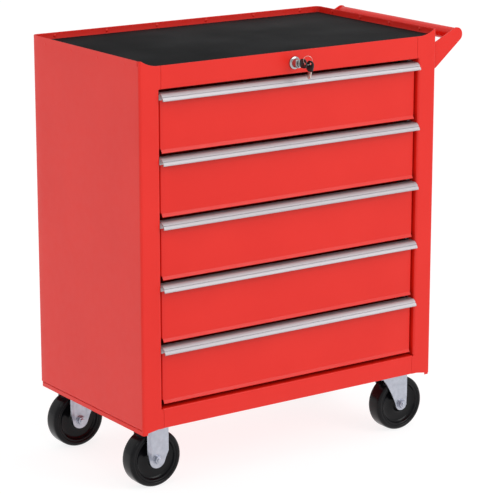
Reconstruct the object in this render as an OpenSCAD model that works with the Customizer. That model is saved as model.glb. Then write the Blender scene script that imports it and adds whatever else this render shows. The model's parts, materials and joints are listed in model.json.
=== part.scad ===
// Tool cart: a sheet-steel cabinet with five drawers on four casters, with a push handle on its right side.
// Millimetres. Z is up and the drawers open towards -Y. The origin is on the floor under the middle of the
// box that holds the whole cart, its handle and its keys.

/* [Cabinet] */
// Width of the cabinet without its handle
body_w = 610; // [560:1:700]
// Depth of the cabinet
body_d = 345; // [330:1:460]
// Height of the cabinet from its lower edge to the tray's rim
body_h = 628; // [600:1:760]
// Height of the cabinet's lower edge over the floor
floor_gap = 106; // [104:1:120]
// Thickness of the sheet steel
sheet = 1; // [0.8:0.1:1.2]
// Outside radius of the bends at the front posts
bend_r = 4; // [2:0.5:5]
// Outside radius of the cabinet's rear corners
rear_r = 10; // [6:1:12]
// Width of each front post
post_w = 38; // [34:1:50]
// Depth that each front post turns back beside the drawers
post_return = 30; // [24:1:36]
// Depth of the tray, from its rim down to the front rail's top edge
rim_h = 10; // [8:1:14]
// Height of the front rail over the drawers
top_rail_h = 39; // [36:0.5:60]
// Height of the front rail under the drawers
bottom_rail_h = 34.5; // [30:0.5:50]
// Height of the bottom rail's lower edge over the cabinet's lower edge
rail_lift = 7; // [6:0.5:9]

/* [Drawers] */
// Number of drawers
drawer_count = 5; // [5:1:5]
// Gap over and under each drawer front
drawer_gap = 6.4; // [5:0.1:8]
// Gap beside each drawer front
side_gap = 4; // [3:0.5:5]
// Distance that the drawer fronts stand behind the front posts' faces
set_back = 6; // [5:0.5:8]
// Height of the aluminium pull
pull_h = 12.8; // [12:0.1:16]
// Distance that the pull's lip stands out from the posts' faces
pull_reach = 9; // [8:0.5:12]
// Length of a drawer slide
slide_len = 300; // [250:50:300]
// Space that a slide takes beside a drawer
slide_w = 12.7; // [12.7:0.1:13]
// Height of a slide's outer channel
slide_h = 30; // [27:1:36]

/* [Handle] */
// Distance from the side panel out to the bar's centre
bar_reach = 50; // [45:1:70]
// Diameter of the bar
bar_d = 22; // [20:1:25]
// Depth of the bar's centre under the tray's rim
bar_drop = 15; // [10:1:30]
// Height of each bracket where it meets the side panel
bracket_root = 47; // [40:1:60]
// Thickness of the bracket plates
bracket_t = 2.5; // [2:0.5:4]

/* [Lock and keys] */
// Diameter of the lock's flange
lock_d = 22; // [20:0.5:26]
// Distance that the lock's barrel stands out from the rail
lock_reach = 14; // [10:1:16]
// Length of a key's bow
bow_len = 19; // [18:1:24]
// Width of a key's bow
bow_w = 16; // [14:1:18]
// Length of a key's blade
blade_len = 12; // [12:1:18]
// Radius of the key ring to the middle of its wire
ring_r = 7.5; // [7:0.5:9]

/* [Casters] */
// Diameter of a wheel
wheel_d = 100; // [96:1:100]
// Width of a wheel's tread
wheel_w = 32; // [24:1:34]
// Distance of the fixed wheels' centres from the left side
fixed_x = 44; // [40:1:60]
// Distance of the swivel pins from the right side
swivel_x = 72; // [70:1:90]
// Distance that a swivelling wheel trails behind its pin
trail = 30; // [25:1:35]
// Distance of the caster centres from the front and back faces
caster_y = 46; // [44:1:60]
// Diameter of the axle bolts and mounting bolts
bolt_d = 8; // [8:1:10]

/* [Hidden] */
$fn = 48;
red = "#e0382e";
dark = "#2d2e31";
zinc = "#b5b8bf";
silver = "#cfcdd0";

// Cabinet levels, over the cabinet's lower edge
rail_top = body_h - rim_h;
opening_top = rail_top - top_rail_h;
opening_bottom = rail_lift + bottom_rail_h;
opening_w = body_w - 2 * post_w;
pan_z = 16;
pan_t = 1.2;
pan_top = pan_z + pan_t;
skirt_h = 9.5;
mat_t = 2.5;
mat_top = rail_top - 0.5;
tray_top = mat_top - mat_t;
tray_z = tray_top - sheet;
rail_tab = 3;
rail_depth = 20;
corner_drop = 3;
rear_flange = 25;
back_y = body_d - sheet;
tray_y = back_y - sheet;
upright_depth = 28;
slit_w = 1.6;
rivet_inset = 44;
rivet_r = 3;
rivet_h = 1.2;

// Drawers
drawer_h = (opening_top - opening_bottom - (drawer_count + 1) * drawer_gap) / drawer_count;
front_x = post_w + side_gap;
front_w = body_w - 2 * front_x;
front_return = 10;
flare_h = 6;
flare = 3;
pull_x = post_w + 1.5;
pull_w = body_w - 2 * pull_x;
pull_t = 1.6;
pull_depth = 8;
slide_y = 18;
slide_rise = 2;
slide_t = 1.2;
ball_gap = 3;
channel_leg = slide_w - 3.2;
runner_leg = slide_w - slide_t - 2.5;
box_x = post_w + slide_w;
box_w = body_w - 2 * box_x;
box_y = slide_y - 2;
box_d = 309;
box_lift = 3;
box_drop = 6;
runner_len = slide_len - 2;

// Handle
bar_z = body_h - bar_drop;
bar_x = body_w + bar_reach;
bar_wall = 1.5;
bar_plug = 12;
bracket_y = 4;
bracket_screw_in = 13;
bracket_end_r = bar_d / 2 + 1.5;
bracket_fall = 57.5;
bracket_z = bar_z - bracket_fall;
bracket_foot = 20;
screw_d = 5;
screw_inset = 10;
screw_head_h = 2.5;

// Lock
lock_x = body_w / 2;
lock_drop = 20.5;
lock_z = rail_top - lock_drop;
plug_r = 6;
barrel_r = 7.5;
stem_r = 9.4;
lock_nut_r = 13.8;
flange_t = 3;
lock_back = 22;
fit = 0.05;
crank_r = 7.07;
crank_pin_r = 2;
crank_y = 332;
shaft_r = 3;
lock_travel = 10;
bar_plane = 338;
hook_y = 328;
catch_rise = 45;

// Keys
strip_w = 24;
strip_t = 2;
strip_left = 11;
strip_over = 12;
strip_under = 20;
slide_gap = 0.3;
hook_w = 12;
keeper_left = 15;
keeper_w = 32;
keeper_h = 12;
bow_t = 2.2;
blade_t = 2;
blade_w = 7;
bow_hole_r = 3.8;
bow_end = 5;
wire_r = 0.45;
ring_turn = 25;
ring_at_key = 230;
ring_at_spare = -50;
key_rise = 2;
ring_dir = [cos(ring_turn), -sin(ring_turn), 0];
key_hole = [lock_x, -lock_reach - 2 - bow_len + bow_end, lock_z + key_rise];
ring_centre = key_hole - ring_offset(ring_at_key);
spare_hole = ring_centre + ring_offset(ring_at_spare);
spare_turn = 10;
spare_tilt = 14;

// Casters
axle_z = wheel_d / 2 - floor_gap;
hub_w = 33;
leg_gap = hub_w + 1;
leg_t = 2.5;
leg_out = leg_gap / 2 + leg_t;
leg_half = 20.5;
leg_flat = 12;
leg_end_r = 15.5;
knee_rise = 14;
flare_angle = 25;
plate_x = 80;
plate_y = 72;
plate_t = 3.5;
bolt_x = 26;
bolt_y = 28.5;
hole_r = bolt_d / 2 + 0.2;
crown_r = 29;
race_r = 24;
pin_r = 6;
pin_head_r = 9;
hex_r = 7.5;
hex_h = 6.5;
head_h = 5.3;
fixed_places = [[fixed_x, caster_y], [fixed_x, body_d - caster_y]];
swivel_places = [[body_w - swivel_x, caster_y], [body_w - swivel_x, body_d - caster_y]];

// The box that holds the whole cart, whose middle is the origin
reach_left = wheel_d / 2 - fixed_x;
reach_right = bar_reach + bracket_end_r;
reach_front = -spare_hole.y + bow_w / 2;
centre_x = (body_w + reach_right - reach_left) / 2;
centre_y = (body_d - reach_front) / 2;

// Step from the ring's centre to the place on its wire at angle a
function ring_offset(a) = ring_r * (cos(a) * ring_dir + [0, 0, sin(a)]);
// Height of the top of drawer i, counted from the top one as 1
function drawer_top(i) = opening_top - drawer_gap - (i - 1) * (drawer_h + drawer_gap);
function drawer_bottom(i) = drawer_top(i) - drawer_h;
function turned(a) = [cos(a), sin(a)];
function arc(c, r, from, to, n) = [for (k = [0:n]) c + r * turned(from + (to - from) * k / n)];
// Points along the curve from a to b that leaves and arrives along the lines to c
function curve(a, c, b, n) =
    [for (k = [0:n]) let (t = k / n, u = 1 - t) u * u * a + 2 * t * u * c + t * t * b];
// Angle at which the tangent from point p meets a circle of radius r at the origin
function tangent_angle(p, r, side) = atan2(p.y, p.x) + side * acos(r / norm(p));

// Carries a shape from the cabinet's lower left front corner to its place over the floor
module placed() {
    translate([-centre_x, -centre_y, floor_gap]) children();
}

// Draws a shape of the left side and its mirror image on the right
module both_sides() {
    children();
    translate([body_w, 0, 0]) mirror([1, 0, 0]) children();
}

// Extrudes an outline drawn in Y and Z along X
module along_x(length) {
    rotate([90, 0, 90]) linear_extrude(length) children();
}

// Extrudes an outline drawn in X and Z along Y
module along_y(length) {
    translate([0, length, 0]) rotate([90, 0, 0]) linear_extrude(length) children();
}

// A round bar along Y, from y to y + length
module rod_y(x, y, z, r, length) {
    translate([x, y + length, z]) rotate([90, 0, 0]) cylinder(r = r, h = length);
}

// Quarter ring for a bend of outside radius r, with its outer corner at the origin
module bend(r) {
    translate([r, r]) intersection() {
        difference() {
            circle(r);
            circle(r - sheet);
        }
        translate([-r, -r]) square(r);
    }
}

module post_outline() {
    bend(bend_r);
    translate([post_w, 0]) mirror([1, 0]) bend(bend_r);
    translate([bend_r, 0]) square([post_w - 2 * bend_r, sheet]);
    translate([post_w - sheet, bend_r]) square([sheet, post_return - bend_r]);
    translate([0, bend_r]) square([sheet, body_d - rear_r - bend_r]);
    translate([0, body_d]) mirror([0, 1]) bend(rear_r);
    translate([rear_r, back_y]) square([rear_flange - rear_r, sheet]);
}

// Outline of what fits inside the panels: x from sheet to the other side, y from the front to the back panel,
// less inset all round, with rounded rear corners
module inner_outline(inset) {
    r = rear_r - sheet - inset;
    x = sheet + inset;
    w = body_w - 2 * x;
    front = sheet + inset;
    back = tray_y - inset;
    translate([x, front]) square([w, back - r - front]);
    translate([x + r, front]) square([w - 2 * r, back - front]);
    for (side = [x + r, x + w - r]) translate([side, back - r]) circle(r);
}

// Everything over the post's curved top edge, which falls from the rim to the rail
module post_top_cut() {
    run = post_w - 2 * bend_r + 2;
    curve_r = (run * run + rim_h * rim_h) / (2 * rim_h);
    translate([0, -1, 0]) {
        intersection() {
            rod_y(bend_r + run, 0, rail_top + curve_r, curve_r, post_return + 2);
            translate([bend_r, 0, rail_top]) cube([run, post_return + 2, rim_h + 1]);
        }
        translate([bend_r + run, 0, rail_top]) cube([post_w, post_return + 2, rim_h + 1]);
    }
}

module side_panel() {
    difference() {
        union() {
            translate([0, 0, corner_drop]) linear_extrude(body_h - corner_drop) post_outline();
            for (span = [[rail_lift, bottom_rail_h], [opening_top, top_rail_h]])
                translate([post_w - bend_r, 0, span[0]]) cube([bend_r + rail_tab, sheet, span[1]]);
        }
        post_top_cut();
        // the lower edge: the side stops over the base pan's skirt, and the post's edge rises to the rail
        translate([-1, bend_r, 0]) cube([rear_flange + 2, body_d, skirt_h]);
        translate([0, -1, 0]) along_y(2)
            polygon([
                [bend_r, 0], [bend_r, corner_drop], [post_w - 10, rail_lift],
                [post_w + rail_tab + 1, rail_lift], [post_w + rail_tab + 1, 0]
            ]);
        // room for the base pan and for the tray
        for (span = [[0, pan_top], [tray_z, body_h]]) translate([sheet, sheet, span[0]])
            cube([post_w + 1, post_return, span[1]]);
        // relief slit beside the bend at the top
        translate([-1, bend_r + 1, rail_top + 1]) cube([3, slit_w, rim_h]);
    }
}

module left_side_panel() color(red) placed() side_panel();

module right_side_panel() color(red) placed() difference() {
    translate([body_w, 0, 0]) mirror([1, 0, 0]) side_panel();
    screw_holes();
}

module back_panel() color(red) placed()
    translate([rear_r + 1, tray_y, 1]) cube([body_w - 2 * rear_r - 2, sheet, body_h - 1]);

// The holes of the four casters' mounting bolts, or their shanks
module caster_holes(r, z, h) {
    for (p = concat(fixed_places, swivel_places), dx = [-bolt_x, bolt_x], dy = [-bolt_y, bolt_y])
        translate([p.x + dx, p.y + dy, z]) cylinder(r = r, h = h);
}

// A pan with a skirt round its left, rear and right, and a turned-down front edge behind the rail
module base_pan() color(red) placed() difference() {
    union() {
        difference() {
            linear_extrude(pan_top) inner_outline(0);
            translate([0, 0, -1]) linear_extrude(pan_z + 1) inner_outline(pan_t);
            translate([0, 0, -1]) cube([body_w, bend_r, pan_z + 1]);
        }
        both_sides() translate([sheet + pan_t, sheet, 0.5]) cube([8, pan_t, skirt_h - 1]);
        translate([post_w, sheet, rail_lift + sheet]) cube([opening_w, pan_t, pan_top - rail_lift - sheet]);
    }
    caster_holes(hole_r, 0, pan_top + 1);
    both_sides() translate([0, 0, pan_z - 1]) cube([bend_r, bend_r, pan_t + 2]);
}

module top_tray() color(red) placed() difference() {
    translate([0, 0, tray_z]) linear_extrude(body_h - 1 - tray_z) inner_outline(0);
    translate([0, 0, tray_z + sheet]) linear_extrude(body_h) inner_outline(sheet);
    translate([0, 0, tray_z + sheet]) cube([body_w, bend_r + 3, body_h]);
    both_sides() translate([0, 0, tray_z - 1]) cube([bend_r, bend_r, sheet + 2]);
}

module top_mat() color(dark) placed()
    translate([0, 0, tray_top]) linear_extrude(mat_t) inner_outline(sheet + 1.5);

module top_front_rail() color(red) placed() difference() {
    union() {
        translate([post_w + rail_tab, 0, opening_top]) cube([opening_w - 2 * rail_tab, sheet, top_rail_h]);
        translate([post_w, sheet, opening_top]) cube([opening_w, rail_depth, sheet]);
        translate([post_w, rail_depth, opening_top]) cube([opening_w, sheet, 8]);
    }
    rod_y(lock_x, -1, lock_z, stem_r + 0.1, 4);
}

module bottom_front_rail() color(red) placed() {
    translate([post_w + rail_tab, 0, rail_lift]) cube([opening_w - 2 * rail_tab, sheet, bottom_rail_h]);
    translate([post_w, sheet, opening_bottom - sheet]) cube([opening_w, rail_depth, sheet]);
    translate([post_w, sheet, rail_lift]) cube([opening_w, 7, sheet]);
}

module rear_uprights() color(red) placed() both_sides() translate([0, 0, pan_top]) {
    top = tray_z - pan_top;
    translate([rear_r + 1, tray_y - sheet, 0]) cube([post_w - rear_r - 1, sheet, top]);
    translate([post_w - sheet, tray_y - upright_depth, 0]) cube([sheet, upright_depth, top]);
}

// Rivets through the tray's upstands: six along the back, four along each side
module rim_rivets() color(red) placed() {
    z = tray_top + 7.5;
    step_x = (body_w - 2 * rivet_inset) / 5;
    step_y = (tray_y - 2 * rivet_inset) / 3;
    for (k = [0:5]) rod_y(rivet_inset + k * step_x, tray_y - sheet - rivet_h, z, rivet_r, rivet_h);
    both_sides() for (k = [0:3])
        translate([2 * sheet, rivet_inset + k * step_y, z])
            rotate([0, 90, 0]) cylinder(r = rivet_r, h = rivet_h);
}

// One slide channel, open towards the drawer
module channel_outline() {
    square([slide_t, slide_h]);
    for (z = [0, slide_h - slide_t]) translate([0, z]) square([channel_leg, slide_t]);
}

module slide_channels() color(zinc) placed() for (i = [1:drawer_count])
    both_sides() translate([post_w, slide_y, drawer_top(i) + slide_rise - slide_h])
        along_y(slide_len) channel_outline();

module runner_outline() {
    inner_h = slide_h - 2 * (slide_t + ball_gap);
    translate([slide_w - slide_t, 0]) square([slide_t, inner_h]);
    for (z = [0, inner_h - slide_t]) translate([slide_w - runner_leg, z]) square([runner_leg, slide_t]);
}

module slide_runners(i) color(zinc) placed() both_sides()
    translate([post_w, slide_y + 1, drawer_top(i) + slide_rise - slide_h + slide_t + ball_gap])
        along_y(runner_len) runner_outline();

// Drawer front in section: a flat face with a flared lower edge and a flange along its top
module front_section(i) {
    top = drawer_top(i) - pull_t;
    bottom = drawer_bottom(i);
    polygon([
        [set_back, top],
        [set_back, bottom + flare_h],
        [set_back - flare, bottom],
        [set_back - flare + sheet, bottom],
        [set_back + sheet, bottom + flare_h],
        [set_back + sheet, top - sheet],
        [set_back + front_return - 2, top - sheet],
        [set_back + front_return - 2, top]
    ]);
}

module drawer_front(i) color(red) placed() {
    translate([front_x, 0, 0]) along_x(front_w) front_section(i);
    both_sides() translate([front_x, set_back + sheet, drawer_bottom(i) + flare_h])
        cube([sheet, front_return - 2, drawer_h - flare_h - pull_t - sheet]);
}

// Pull in section, with Y forward of the posts negative: a top plate, a convex face that leans out to a
// beaded lip, and a leg down the drawer front. It is open underneath for the fingers.
module pull_section() {
    face_r = 17;
    lip_z = -pull_h + 2.6;
    top_point = [0.6, 0];
    lip_point = [-pull_reach + 1, lip_z + 1];
    chord = norm(top_point - lip_point);
    mid = (top_point + lip_point) / 2;
    along = (lip_point - top_point) / chord;
    centre = mid + sqrt(face_r * face_r - chord * chord / 4) * [-along.y, along.x];
    start = atan2((top_point - centre).y, (top_point - centre).x);
    end = atan2((lip_point - centre).y, (lip_point - centre).x);
    polygon(concat(
        arc(centre, face_r, start, end, 8),
        arc(centre, face_r - pull_t, end, start, 8)
    ));
    translate([-pull_reach + 1.8, lip_z - 0.6]) circle(1.8);
    translate([0, -pull_t]) square([set_back + pull_depth, pull_t]);
    translate([set_back - pull_t, -pull_h + 1]) square([pull_t, pull_h - 1]);
}

module drawer_pull(i) color(silver) placed()
    translate([pull_x, 0, drawer_top(i)]) along_x(pull_w) pull_section();

// Drawer box: a pan with a catch on its back for the lock bar
module drawer_box(i) color(red) placed() {
    bottom = drawer_bottom(i) + box_lift;
    side_h = drawer_top(i) - box_drop - bottom;
    translate([box_x, box_y, bottom]) difference() {
        cube([box_w, box_d, side_h]);
        translate([sheet, sheet, sheet]) cube([box_w - 2 * sheet, box_d - 2 * sheet, body_h]);
        translate([sheet, box_d - 2 * sheet, side_h - 8]) cube([box_w - 2 * sheet, 4 * sheet, body_h]);
    }
    lip_top = drawer_bottom(i) + catch_rise;
    back = box_y + box_d;
    translate([lock_x - 8, back, lip_top - 12]) cube([16, 9, sheet + 0.2]);
    translate([lock_x - 8, back + 9 - sheet, lip_top - 12]) cube([16, sheet, 12]);
}

// Rods along X where screws hold the handle's brackets to the side panel
module bracket_screws(r, x, length) {
    for (y = [bracket_y + bracket_screw_in, body_d - bracket_y - bracket_screw_in],
         z = [screw_inset, bracket_root - screw_inset])
        translate([x, y, bracket_z + z]) rotate([0, 90, 0]) cylinder(r = r, h = length);
}

module screw_holes() bracket_screws(screw_d / 2 + 0.1, body_w - 3, bracket_t + 4);

// Bracket outline in X and Z, from the side panel to the round end about the bar
module bracket_outline() {
    root_top = [-bar_reach, bracket_root + bracket_z - bar_z];
    root_bottom = [-bar_reach, bracket_z - bar_z];
    upper = tangent_angle(root_top, bracket_end_r, -1);
    lower = tangent_angle(root_bottom, bracket_end_r, 1);
    translate([bar_x, bar_z]) {
        circle(bracket_end_r);
        polygon([
            root_top,
            bracket_end_r * [cos(upper), sin(upper)],
            bracket_end_r * [cos(lower), sin(lower)],
            root_bottom
        ]);
    }
}

module handle_bracket() {
    difference() {
        union() {
            translate([0, bracket_y, 0]) along_y(bracket_t) bracket_outline();
            translate([body_w, bracket_y, bracket_z]) cube([bracket_t, bracket_foot, bracket_root]);
        }
        screw_holes();
    }
}

module handle_bracket_front() color(red) placed() handle_bracket();

module handle_bracket_rear() color(red) placed() translate([0, body_d, 0]) mirror([0, 1, 0]) handle_bracket();

// A tube with a plug in each end where the brackets hold it
module handle_bar() color(red) placed() difference() {
    inside = bracket_y + bracket_t;
    length = body_d - 2 * inside;
    rod_y(bar_x, inside, bar_z, bar_d / 2, length);
    rod_y(bar_x, inside + bar_plug, bar_z, bar_d / 2 - bar_wall, length - 2 * bar_plug);
}

module handle_screws() color(zinc) placed() {
    bracket_screws(screw_d / 2, body_w - 3, bracket_t + 4);
    bracket_screws(screw_d, body_w + bracket_t, screw_head_h);
}

module lock_housing() color(silver) placed() difference() {
    union() {
        rod_y(lock_x, -flange_t, lock_z, lock_d / 2, flange_t);
        rod_y(lock_x, -lock_reach, lock_z, barrel_r, lock_reach);
        rod_y(lock_x, -1, lock_z, stem_r, lock_back + 1);
    }
    rod_y(lock_x, -lock_reach - 1, lock_z, plug_r + fit, lock_reach + lock_back + 2);
}

module lock_nut() color(zinc) placed() difference() {
    translate([lock_x, sheet + 4, lock_z]) rotate([90, 0, 0]) cylinder(r = lock_nut_r, h = 4, $fn = 6);
    rod_y(lock_x, 0, lock_z, stem_r + fit, 8);
}

module lock_plug() color(silver) placed() difference() {
    rod_y(lock_x, -lock_reach - 0.4, lock_z, plug_r, lock_reach + lock_back + 2.4);
    translate([lock_x - blade_t / 2 - 0.15, -lock_reach - 1, lock_z - blade_w / 2 - 0.2])
        cube([blade_t + 0.3, blade_len + 1, blade_w + 0.4]);
}

// The shaft that the plug turns, with a crank at its back end that lifts and lowers the lock bar
module lock_shaft() color(zinc) placed() {
    front = lock_back + 2;
    rod_y(lock_x, front, lock_z, plug_r + 3, 2.5);
    rod_y(lock_x, front + 2, lock_z, shaft_r, crank_y - front - 2);
    rod_y(lock_x, crank_y, lock_z, crank_r + crank_pin_r + 2, 2.5);
    pin = crank_r * [cos(45), sin(45)];
    rod_y(lock_x + pin.x, crank_y + 2, lock_z + pin.y, crank_pin_r, bar_plane + 3 - crank_y - 2);
}

// Flat bar behind the drawers, with a hook over each drawer's catch
module lock_bar() color(zinc) placed() {
    bar_top = lock_z + strip_over;
    bar_bottom = drawer_bottom(drawer_count) + catch_rise - strip_under;
    slot_z = lock_z + crank_r * sin(45);
    slot_x = lock_x + crank_r * (cos(45) + 1) / 2;
    slot_w = crank_r * (1 - cos(45)) + 2 * crank_pin_r + 1;
    difference() {
        translate([lock_x - strip_left, bar_plane, bar_bottom]) cube([strip_w, strip_t, bar_top - bar_bottom]);
        translate([slot_x - slot_w / 2, bar_plane - 1, slot_z - crank_pin_r - 0.5])
            cube([slot_w, strip_t + 2, 2 * crank_pin_r + 1]);
    }
    for (i = [1:drawer_count]) {
        lip_top = drawer_bottom(i) + catch_rise;
        translate([lock_x - hook_w / 2, hook_y, lip_top + lock_travel + strip_t])
            cube([hook_w, bar_plane - hook_y + 1, strip_t]);
        translate([lock_x - hook_w / 2, hook_y, lip_top + strip_t]) cube([hook_w, strip_t, lock_travel + 1]);
    }
}

// Keepers on the back panel that the lock bar slides in, and a bearing plate for the shaft's back end
module lock_bar_guides() color(zinc) placed() {
    for (i = [1, drawer_count - 1])
        translate([lock_x - keeper_left, bar_plane - strip_t, drawer_bottom(i) + keeper_h]) difference() {
            cube([keeper_w, tray_y - bar_plane + strip_t, keeper_h]);
            translate([keeper_left - strip_left - slide_gap, strip_t - slide_gap, -1])
                cube([strip_w + 2 * slide_gap, strip_t + 2 * slide_gap, keeper_h + 2]);
        }
    difference() {
        translate([lock_x - 10, crank_y - 6, lock_z - 8]) cube([20, 2, tray_z - lock_z + 8]);
        rod_y(lock_x, crank_y - 8, lock_z, shaft_r + fit, 6);
    }
}

// Key bow lying in Y and Z with its ring hole at the origin and the blade's end towards +Y
module bow() {
    neck = bow_len - bow_end;
    middle = bow_w / 2 - bow_end;
    rotate([90, 0, 90]) translate([0, 0, -bow_t / 2]) linear_extrude(bow_t) difference() {
        union() {
            translate([middle, 0]) circle(bow_w / 2);
            translate([middle, -bow_w / 2 + 0.6]) square([neck - middle, bow_w - 1.2]);
        }
        circle(bow_hole_r);
    }
}

// Key blade with a pointed tip, starting where the bow ends
module blade() {
    neck = bow_len - bow_end;
    half = blade_w / 2;
    rotate([90, 0, 90]) translate([0, -key_rise, -blade_t / 2]) linear_extrude(blade_t)
        polygon([
            [neck, -half], [neck + blade_len - 3, -half], [neck + blade_len, -1],
            [neck + blade_len, 1], [neck + blade_len - 3, half], [neck, half]
        ]);
}

module spare_pose() {
    translate(spare_hole) rotate([0, 0, spare_turn]) rotate([-90 + spare_tilt, 0, 0]) children();
}

module key_bow() color(dark) placed() translate(key_hole) bow();

module key_blade() color(silver) placed() translate(key_hole) blade();

module spare_key_bow() color(dark) placed() spare_pose() bow();

module spare_key_blade() color(silver) placed() spare_pose() blade();

module key_ring() color(silver) placed() translate(ring_centre) rotate([90, 0, -ring_turn])
    rotate_extrude() translate([ring_r, 0]) circle(wire_r, $fn = 16);

// A fixed caster's leg in X and Z about its axle: a narrow flat middle and a round lower end
module straight_leg(top) {
    circle(leg_end_r);
    translate([-leg_flat - 1, 0]) square([2 * leg_flat + 2, top]);
}

// The edge that is turned out beside the flat middle, with its slanted lower end
module leg_flare(top) {
    w = (leg_half - leg_flat) / cos(flare_angle);
    polygon([[0, top], [w, top], [w, knee_rise], [w / 3, -leg_end_r / 4], [0, -leg_end_r / 2]]);
}

module mounting_plate(p) {
    translate([p.x - plate_x / 2, p.y - plate_y / 2, pan_z - plate_t]) cube([plate_x, plate_y, plate_t]);
}

module fixed_fork(p) color(zinc) placed() difference() {
    union() {
        top = pan_z - plate_t - axle_z;
        mounting_plate(p);
        translate([p.x, p.y, axle_z]) for (my = [0, 1]) mirror([0, my, 0]) {
            translate([0, -leg_out, 0]) along_y(leg_t) straight_leg(top);
            for (mx = [0, 1]) mirror([mx, 0, 0])
                translate([leg_flat, -leg_out, 0]) rotate([0, 0, -flare_angle]) along_y(leg_t) leg_flare(top);
        }
    }
    caster_holes(hole_r, 0, pan_top + 1);
    rod_y(p.x, p.y - leg_out - 4, axle_z, bolt_d / 2 + fit, 2 * leg_out + 8);
}

// Axle bolt with its nut towards the front
module axle(x, y) {
    nut_y = y - leg_out - hex_h;
    rod_y(x, nut_y - 2.5, axle_z, bolt_d / 2, 2 * leg_out + hex_h + 3);
    translate([x, y + leg_out + head_h, axle_z]) rotate([90, 0, 0]) cylinder(r = hex_r, h = head_h, $fn = 6);
    difference() {
        translate([x, nut_y + hex_h, axle_z]) rotate([90, 0, 0]) cylinder(r = hex_r, h = hex_h, $fn = 6);
        rod_y(x, nut_y - 1, axle_z, bolt_d / 2 + fit, hex_h + 2);
    }
}

module fixed_axles() color(zinc) placed() for (p = fixed_places) axle(p.x, p.y);

module swivel_axle(p) color(zinc) placed() axle(p.x + trail, p.y);

module swivel_plate(p) color(zinc) placed() {
    difference() {
        mounting_plate(p);
        caster_holes(hole_r, 0, pan_top + 1);
    }
    translate([p.x, p.y, 6]) cylinder(r = race_r, h = pan_z - plate_t - 6);
    translate([p.x, p.y, -6.2]) cylinder(r = pin_r, h = 13);
    translate([p.x, p.y, -6.2]) cylinder(r = pin_head_r, h = 3);
}

// A swivelling leg in X and Z about its axle: upright behind, curving forward to the crown in front
module leaning_leg() {
    end_r = 12;
    top = -axle_z;
    corner = [-trail - 9, top - 6];
    waist = [-end_r - 5, end_r + 4];
    a = tangent_angle(waist, end_r, 1);
    circle(end_r);
    polygon(concat([[end_r, 0], [end_r, top], [corner.x, top]], curve(corner, waist, end_r * turned(a), 8)));
}

module swivel_fork(p) color(zinc) placed() difference() {
    union() {
        translate([p.x, p.y, -3]) cylinder(r = crown_r, h = 3);
        translate([p.x - 20, p.y - leg_out, -3]) cube([trail + 32, 2 * leg_out, 3]);
        difference() {
            translate([p.x, p.y, -1]) cylinder(r = crown_r, h = 6.5);
            translate([p.x, p.y, -1]) cylinder(r = race_r + 1, h = 8);
        }
        for (side = [-1, 1]) {
            middle = p.y + side * (leg_out - leg_t / 2);
            translate([p.x + trail, middle - leg_t / 2, axle_z]) along_y(leg_t) leaning_leg();
        }
    }
    translate([p.x, p.y, -5]) cylinder(r = pin_r + fit, h = 10);
    rod_y(p.x + trail, p.y - leg_out - 1, axle_z, bolt_d / 2 + fit, 2 * leg_out + 2);
}

// Heads above the base pan, shanks, and nuts under the plates
module caster_bolts() color(zinc) placed() {
    caster_holes(bolt_d / 2, pan_z - plate_t - hex_h - 1, pan_t + plate_t + hex_h + 2);
    for (p = concat(fixed_places, swivel_places), dx = [-bolt_x, bolt_x], dy = [-bolt_y, bolt_y])
        translate([p.x + dx, p.y + dy, 0]) {
            translate([0, 0, pan_top]) cylinder(r = hex_r, h = head_h, $fn = 6);
            translate([0, 0, pan_z - plate_t - hex_h]) difference() {
                cylinder(r = hex_r, h = hex_h, $fn = 6);
                translate([0, 0, -1]) cylinder(r = bolt_d / 2 + fit, h = hex_h + 2);
            }
        }
}

// Half section of a wheel: hub, dished web and rounded tread
module wheel_section() {
    bore = bolt_d / 2 + fit;
    edge_r = 5;
    outer = wheel_d / 2;
    translate([bore, -hub_w / 2]) square([13 - bore, hub_w]);
    translate([bore, -9]) square([outer - 10 - bore, 18]);
    translate([36, -wheel_w / 2]) square([outer - edge_r - 36, wheel_w]);
    translate([36, -wheel_w / 2 + edge_r]) square([outer - 36, wheel_w - 2 * edge_r]);
    for (side = [-1, 1]) translate([outer - edge_r, side * (wheel_w / 2 - edge_r)]) circle(edge_r);
}

module wheel(x, y) color(dark) placed() translate([x, y, axle_z]) rotate([90, 0, 0])
    rotate_extrude($fn = 96) wheel_section();

left_side_panel();
right_side_panel();
back_panel();
base_pan();
top_tray();
top_mat();
top_front_rail();
bottom_front_rail();
rear_uprights();
rim_rivets();
slide_channels();
handle_bar();
handle_bracket_front();
handle_bracket_rear();
handle_screws();
lock_housing();
lock_nut();
lock_plug();
lock_shaft();
lock_bar();
lock_bar_guides();
key_blade();
key_bow();
key_ring();
spare_key_blade();
spare_key_bow();
fixed_axles();
caster_bolts();
fixed_fork(fixed_places[0]);  // fixed_fork_front
fixed_fork(fixed_places[1]);  // fixed_fork_rear
swivel_plate(swivel_places[0]);  // swivel_plate_front
swivel_plate(swivel_places[1]);  // swivel_plate_rear
swivel_fork(swivel_places[0]);  // swivel_fork_front
swivel_fork(swivel_places[1]);  // swivel_fork_rear
swivel_axle(swivel_places[0]);  // swivel_axle_front
swivel_axle(swivel_places[1]);  // swivel_axle_rear
wheel(fixed_places[0].x, fixed_places[0].y);  // fixed_wheel_front
wheel(fixed_places[1].x, fixed_places[1].y);  // fixed_wheel_rear
wheel(swivel_places[0].x + trail, swivel_places[0].y);  // swivel_wheel_front
wheel(swivel_places[1].x + trail, swivel_places[1].y);  // swivel_wheel_rear
for (i = [1:drawer_count]) {
    drawer_box(i);
    drawer_front(i);
    drawer_pull(i);
    slide_runners(i);
}
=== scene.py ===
"""Looks for the tool cart: folded sheet-steel cabinet, drawers with pulls, lock, keys, handle and casters.

Shapes are drawn in millimetres in cart space: x to the right, y to the back and z up from the lower left
front corner of the cabinet. cart_box() reads a CAD node's corners there. piece() puts a shape in the frame.
"""
import math

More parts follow.
